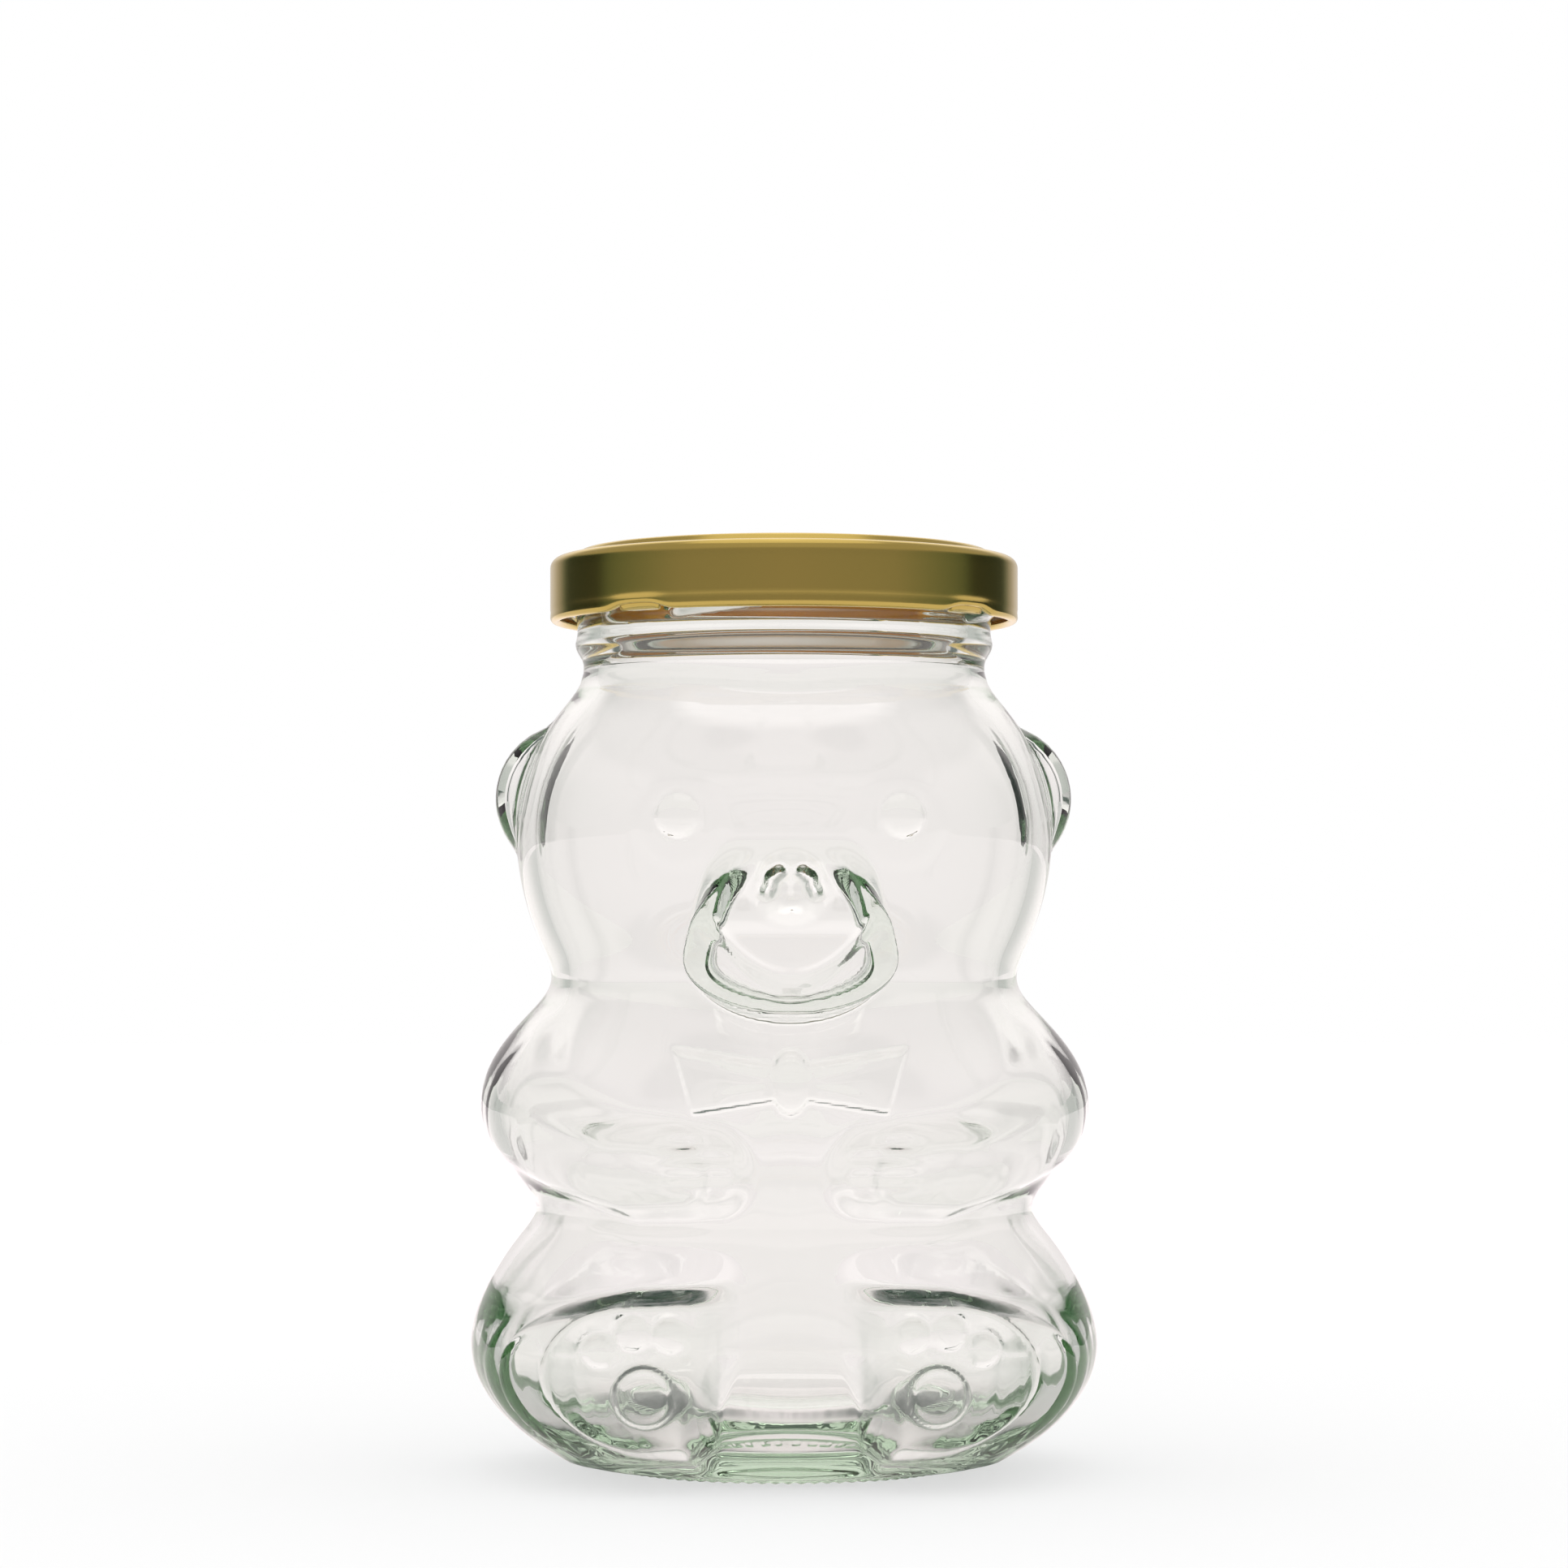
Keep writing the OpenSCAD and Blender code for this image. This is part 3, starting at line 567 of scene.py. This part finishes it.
def lid_mesh():
    """The lid's sheet. Its first faces are those of the inside, up to the curl."""
    outside = lid_outline()
    step = np.zeros_like(outside)
    step[1:-1] = outside[2:] - outside[:-2]
    step[0], step[-1] = outside[1] - outside[0], outside[-1] - outside[-2]
    step /= np.linalg.norm(step, axis=1)[:, None]
    inside = outside + SHEET * np.stack([step[:, 1], -step[:, 0]], 1)
    phi = even_phi(LID_COLS)
    from_lug = np.abs((phi - LUG_MID + 45) % 90 - 45)
    press = np.exp(-(from_lug / PRESS_DEG) ** 4)
    rings = []
    for r, z in np.concatenate([outside, inside[::-1]]):
        low = np.clip((LID_BOTTOM_Z + PRESS_H - z) / PRESS_H, 0, 1) ** PRESS_FADE
        rings.append(ring_at(r - PRESS_IN * press * low, phi, z + PRESS_UP * press * low))
    middles = [(0, AXIS_Y, side[0, 1]) for side in (inside, outside)]
    inner_faces = (len(inside) - CURL_POINTS - 1) * LID_COLS
    return grid_mesh("lid_sheet", rings[::-1], *middles), inner_faces


def lug_mesh():
    """The four lugs: the curl pressed flat and turned in under the thread."""
    verts, faces = [], []
    n = len(LUG_SECTION)
    j = np.arange(n)
    m = (j + 1) % n
    turns = np.linspace(-LUG_DEG / 2, LUG_DEG / 2, LUG_TURNS)
    for k in range(LUGS):
        mid = LUG_MID + 90 * k
        start = len(verts)
        for a in turns:
            squeeze = 1 - LUG_TAPER * (abs(a) / (LUG_DEG / 2)) ** 4
            for r, z in LUG_SECTION:
                rr = LUG_ROOT_R + (r - LUG_ROOT_R) * squeeze
                verts.append((rr * sin_d(mid + a) * MM, (AXIS_Y - rr * cos_d(mid + a)) * MM, z * MM))
        for i in range(LUG_TURNS - 1):
            a, b = start + i * n, start + (i + 1) * n
            faces += np.stack([a + j, a + m, b + m, b + j], 1).tolist()
        faces.append((start + j)[::-1].tolist())
        faces.append((start + (LUG_TURNS - 1) * n + j).tolist())
    mesh = bpy.data.meshes.new("lid_lugs")
    mesh.from_pydata(verts, [], faces)
    return placed("lid_lugs", mesh)


def seal_mesh():
    rings = [ring_at(r, even_phi(SEAL_COLS), z) for r, z in SEAL_SECTION]
    return grid_mesh("seal_compound", rings + [rings[0]], None, None)


# Shader nodes
def material(name):
    mat = bpy.data.materials.new(name)
    mat.use_nodes = True
    return mat, mat.node_tree, mat.node_tree.nodes["Principled BSDF"]


def put(tree, socket, value):
    """A value or the output of a node, put into a socket."""
    if isinstance(value, bpy.types.NodeSocket):
        tree.links.new(value, socket)
    else:
        socket.default_value = value


def math_node(tree, operation, *inputs):
    node = tree.nodes.new("ShaderNodeMath")
    node.operation = operation
    for i, value in enumerate(inputs):
        put(tree, node.inputs[i], value)
    return node.outputs[0]


def vector_node(tree, operation, *inputs):
    node = tree.nodes.new("ShaderNodeVectorMath")
    node.operation = operation
    for i, value in enumerate(inputs):
        put(tree, node.inputs[i], value)
    return node.outputs["Value" if operation == "DISTANCE" else "Vector"]


def split_node(tree, vector):
    node = tree.nodes.new("ShaderNodeSeparateXYZ")
    tree.links.new(vector, node.inputs[0])
    return node.outputs


def map_node(tree, value, start, end, low=0.0, high=1.0, kind="LINEAR"):
    node = tree.nodes.new("ShaderNodeMapRange")
    node.interpolation_type = kind
    given = {"Value": value, "From Min": start, "From Max": end, "To Min": low, "To Max": high}
    for name, what in given.items():
        put(tree, node.inputs[name], what)
    return node.outputs["Result"]


def ramp_node(tree, factor, stops):
    """A colour ramp with stops of (place, colour or grey value)."""
    node = tree.nodes.new("ShaderNodeValToRGB")
    while len(node.color_ramp.elements) < len(stops):
        node.color_ramp.elements.new(0.5)
    for element, (at, value) in zip(node.color_ramp.elements, stops):
        element.position = at
        element.color = value if isinstance(value, tuple) else (value, value, value, 1)
    tree.links.new(factor, node.inputs["Fac"])
    return node.outputs["Color"]


def mix_node(tree, factor, a, b, kind="RGBA", blend="MIX"):
    node = tree.nodes.new("ShaderNodeMix")
    node.data_type = kind
    if kind == "RGBA":
        node.blend_type = blend
    for name, value in (("Factor", factor), ("A", a), ("B", b)):
        put(tree, node.inputs[name], value)
    return node.outputs["Result"]


# Materials
def glass_material():
    """Clear glass, green where light goes a long way through it."""
    mat, tree, bsdf = material("glass")
    bsdf.inputs["Base Color"].default_value = WHITE
    bsdf.inputs["Roughness"].default_value = 0.0
    bsdf.inputs["IOR"].default_value = GLASS_IOR
    bsdf.inputs["Transmission Weight"].default_value = 1.0
    absorb = tree.nodes.new("ShaderNodeVolumeAbsorption")
    absorb.inputs["Color"].default_value = GLASS_COLOR
    absorb.inputs["Density"].default_value = GLASS_DENSITY
    tree.links.new(absorb.outputs["Volume"], tree.nodes["Material Output"].inputs["Volume"])
    return mat


def metal_material(name, roughness):
    mat, tree, bsdf = material(name)
    bsdf.inputs["Metallic"].default_value = 1.0
    bsdf.inputs["Roughness"].default_value = roughness
    return mat, tree, bsdf


def gold_material():
    mat, _, bsdf = metal_material("gold_tinplate", GOLD_ROUGHNESS)
    bsdf.inputs["Base Color"].default_value = GOLD_COLOR
    return mat


def lacquer_with_painted_shade_material():
    """The inside of the lid: pale, with a band of painted shade in orange gold inside the skirt."""
    mat, tree, bsdf = metal_material("lid_lacquer_painted_shade", LACQUER_ROUGHNESS)
    coords = tree.nodes.new("ShaderNodeTexCoord")
    height = map_node(tree, split_node(tree, coords.outputs["Object"])["Z"], *LACQUER_SHADE_BAND_Z)
    tree.links.new(ramp_node(tree, height, LACQUER_AND_PAINTED_SHADE_STOPS), bsdf.inputs["Base Color"])
    return mat


def compound_material():
    mat, _, bsdf = material("sealing_compound")
    bsdf.inputs["Base Color"].default_value = COMPOUND_COLOR
    bsdf.inputs["Roughness"].default_value = COMPOUND_ROUGHNESS
    return mat


jar = jar_mesh()
lid, inner_faces = lid_mesh()
lugs = lug_mesh()
seal = seal_mesh()

gold = gold_material()
jar.data.materials.append(glass_material())
lid.data.materials.append(gold)
lid.data.materials.append(lacquer_with_painted_shade_material())
lugs.data.materials.append(gold)
seal.data.materials.append(compound_material())
for face in lid.data.polygons[:inner_faces]:
    face.material_index = 1

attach(jar, "jar")
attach(lid, "lid")
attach(lugs, "lid")
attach(seal, "seal")
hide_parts("jar")
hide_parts("lid")
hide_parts("seal_ring")

# The floor, in metres. Its grey takes the shadow, and its glow makes it pale
FLOOR_SIZE, FLOOR_DROP = 6.0, 0.0002
# The second grey is painted shade: the floor as the glass shows it is dark green
FLOOR_GREY, FLOOR_PAINTED_SHADE_IN_GLASS, FLOOR_ROUGHNESS = (0.275, 0.275, 0.275, 1), (0.07, 0.11, 0.09, 1), 0.9
FLOOR_GLOW, FLOOR_GLOW_THROUGH_GLASS, GLOW_HUE = 0.57, 0.85, (0.98, 0.855, 0.875, 1)
# Painted shadows under the two feet, and painted shade beside the jar, in the glow that metal and glass show
FOOT_PAINTED_SHADOW_MID, FOOT_PAINTED_SHADOW_R = (0.018, -0.004, 0), (0.011, 0.021)
SIDE_ANGLE, SIDE_PAINTED_SHADE, SIDE_MID_Y = (0.3, 0.6), 0.6, 0.06


def through_glass_glow_and_painted_shade(tree, path, place):
    """The floor's glow as metal and glass show it, with painted shadows under the feet and painted shade
    beside the jar.
    """
    rays = math_node(tree, "MAXIMUM", path["Is Glossy Ray"], path["Is Transmission Ray"])
    # It fades out in two painted contact shadows under the feet
    half = vector_node(tree, "MULTIPLY", vector_node(tree, "ABSOLUTE", place), (1, 0, 0))
    mirrored = vector_node(tree, "MULTIPLY_ADD", place, (0, 1, 0), half)
    reach = vector_node(tree, "DISTANCE", mirrored, FOOT_PAINTED_SHADOW_MID)
    fade = map_node(tree, reach, *FOOT_PAINTED_SHADOW_R, 0.0, FLOOR_GLOW_THROUGH_GLASS, "SMOOTHSTEP")
    # Beside the jar it is darker than behind it, a painted shade
    middle = split_node(tree, place)
    beside = math_node(tree, "ARCTAN2", middle["X"], math_node(tree, "ADD", middle["Y"], SIDE_MID_Y))
    aside = math_node(tree, "ABSOLUTE", beside)
    shade = map_node(tree, aside, *SIDE_ANGLE, 1.0, SIDE_PAINTED_SHADE, "SMOOTHSTEP")
    return math_node(tree, "MULTIPLY", math_node(tree, "MULTIPLY", rays, fade), shade)


def floor_material():
    mat, tree, bsdf = material("floor")
    bsdf.inputs["Roughness"].default_value = FLOOR_ROUGHNESS
    bsdf.inputs["Specular IOR Level"].default_value = 0.0
    path = tree.nodes.new("ShaderNodeLightPath").outputs
    place = tree.nodes.new("ShaderNodeNewGeometry").outputs["Position"]
    # Through the glass its grey gives way to a painted dark green shade, so little but its glow shows
    grey = mix_node(tree, path["Is Transmission Ray"], FLOOR_GREY, FLOOR_PAINTED_SHADE_IN_GLASS)
    tree.links.new(grey, bsdf.inputs["Base Color"])
    seen = math_node(tree, "MULTIPLY", path["Is Camera Ray"], FLOOR_GLOW)
    glow = tree.nodes.new("ShaderNodeEmission")
    put(tree, glow.inputs["Color"], mix_node(tree, path["Is Camera Ray"], GLOW_HUE, WHITE))
    strength = math_node(tree, "MAXIMUM", seen, through_glass_glow_and_painted_shade(tree, path, place))
    put(tree, glow.inputs["Strength"], strength)
    both = tree.nodes.new("ShaderNodeAddShader")
    tree.links.new(bsdf.outputs[0], both.inputs[0])
    tree.links.new(glow.outputs[0], both.inputs[1])
    tree.links.new(both.outputs[0], tree.nodes["Material Output"].inputs["Surface"])
    return mat


bpy.ops.mesh.primitive_plane_add(size=FLOOR_SIZE, location=(0, 0, -FLOOR_DROP))
floor = bpy.context.object
floor.name = "floor"
floor.data.materials.append(floor_material())

# The studio. Each list has stops of (place, level): round it from the back, 0, to the front, 1, and
# up it from straight down, 0, over the horizon, 0.5, to straight up, 1
METAL_ROUND = ((0.0, 0.9), (0.13, 0.75), (0.2, 0.4), (0.25, 0.05), (0.42, 0.03), (0.47, 0.17), (0.7, 0.33),
               (1.0, 0.36))
METAL_UP = ((0.0, 0.6), (0.5, 1.0), (0.56, 1.0), (0.64, 1.6), (1.0, 1.6))
# The least level that metal shows, up the studio
METAL_OVERHEAD = ((0.0, 0.0), (0.585, 0.0), (0.64, 0.5), (1.0, 0.5))
GLASS_ROUND = ((0.0, 1.0), (0.2, 1.0), (0.24, 0.85), (0.28, 0.75), (0.298, 0.08), (0.332, 0.08), (0.35, 0.7),
               (1.0, 0.7))
# The backdrop is brighter further up. Above it come a darker gap and the soft light overhead
GLASS_UP = ((0.0, 0.5), (0.42, 0.82), (0.5, 0.97), (0.53, 1.0), (0.6, 1.15), (0.67, 1.15), (0.7, 0.14),
            (0.835, 0.14), (0.86, 1.0), (1.0, 1.0))
TOP_LIGHT = ((0.0, 0.0), (0.835, 0.0), (0.87, 1.0), (1.0, 1.0))
TOP_LIGHT_LEVEL, TOP_LIGHT_MORE_IN_GLASS = 1.1, 1.5
SOFT_LIGHT = (1.6, 1.6, 1.6, 1)
# Dark levels are greener than bright ones
DARK_TINT, BRIGHT_TINT = (0.66, 0.98, 0.82, 1), (0.967, 0.913, 0.91, 1)
TINT_STOPS = ((0.0, 0.0), (0.12, 0.0), (0.36, 1.0), (1.0, 1.0))


def studio_level(tree, path):
    """Level of the studio as metal shows it, or glass."""
    coords = tree.nodes.new("ShaderNodeTexCoord")
    at = split_node(tree, coords.outputs["Generated"])
    turn = math_node(tree, "ABSOLUTE", math_node(tree, "ARCTAN2", at["X"], at["Y"]))
    around = math_node(tree, "DIVIDE", turn, math.pi)
    above = math_node(tree, "ARCSINE", at["Z"])
    rise = math_node(tree, "ADD", math_node(tree, "DIVIDE", above, math.pi), 0.5)
    metal = math_node(tree, "MULTIPLY", ramp_node(tree, around, METAL_ROUND), ramp_node(tree, rise, METAL_UP))
    metal = math_node(tree, "MAXIMUM", metal, ramp_node(tree, rise, METAL_OVERHEAD))
    glass = math_node(tree, "MULTIPLY", ramp_node(tree, around, GLASS_ROUND), ramp_node(tree, rise, GLASS_UP))
    level = mix_node(tree, path["Is Transmission Ray"], metal, glass, "FLOAT")
    more = math_node(tree, "MULTIPLY", path["Is Transmission Ray"], TOP_LIGHT_MORE_IN_GLASS)
    strength = math_node(tree, "ADD", TOP_LIGHT_LEVEL, more)
    top_light = math_node(tree, "MULTIPLY", ramp_node(tree, rise, TOP_LIGHT), strength)
    return math_node(tree, "MAXIMUM", level, top_light)


def make_world():
    """White for the camera, the studio in metal and glass, and soft light on matt surfaces."""
    world = bpy.data.worlds.new("studio")
    bpy.context.scene.world = world
    world.use_nodes = True
    tree = world.node_tree
    path = tree.nodes.new("ShaderNodeLightPath").outputs
    level = studio_level(tree, path)
    shadow = mix_node(tree, ramp_node(tree, level, TINT_STOPS), DARK_TINT, BRIGHT_TINT)
    studio = mix_node(tree, 1.0, level, shadow, blend="MULTIPLY")
    rays = math_node(tree, "MAXIMUM", path["Is Glossy Ray"], path["Is Transmission Ray"])
    # Light that reaches a matt surface through the glass is the soft light too
    shiny = math_node(tree, "SUBTRACT", 1.0, math_node(tree, "MINIMUM", path["Diffuse Depth"], 1.0))
    shown = mix_node(tree, math_node(tree, "MULTIPLY", rays, shiny), SOFT_LIGHT, studio)
    back = tree.nodes["Background"]
    back.inputs["Strength"].default_value = 1.0
    tree.links.new(mix_node(tree, path["Is Camera Ray"], shown, WHITE), back.inputs["Color"])


make_world()

# The camera, in metres, a little left of the middle and level with the muzzle
CAMERA_D, CAMERA_Z, CAMERA_AZ = 0.623, 0.0719, math.radians(-1.35)
LENS, SENSOR_W, SHIFT_Y, CLIP = 101.0, 36.0, 0.1097, (0.01, 50.0)


def make_camera():
    camera = bpy.data.objects.new("camera", bpy.data.cameras.new("camera"))
    bpy.context.scene.collection.objects.link(camera)
    camera.data.lens = LENS
    camera.data.sensor_width = SENSOR_W
    camera.data.shift_y = SHIFT_Y
    camera.data.clip_start, camera.data.clip_end = CLIP
    away = (CAMERA_D * math.sin(CAMERA_AZ), -CAMERA_D * math.cos(CAMERA_AZ))
    camera.location = (away[0], AXIS_Y * MM + away[1], CAMERA_Z)
    camera.rotation_euler = (math.pi / 2, 0, CAMERA_AZ)
    bpy.context.scene.camera = camera


make_camera()
bpy.context.scene.view_settings.view_transform = "Standard"
# Light that is led along inside the thick glass comes out again
BOUNCES = 40
for kind in ("max_bounces", "glossy_bounces", "transmission_bounces"):
    setattr(bpy.context.scene.cycles, kind, BOUNCES)
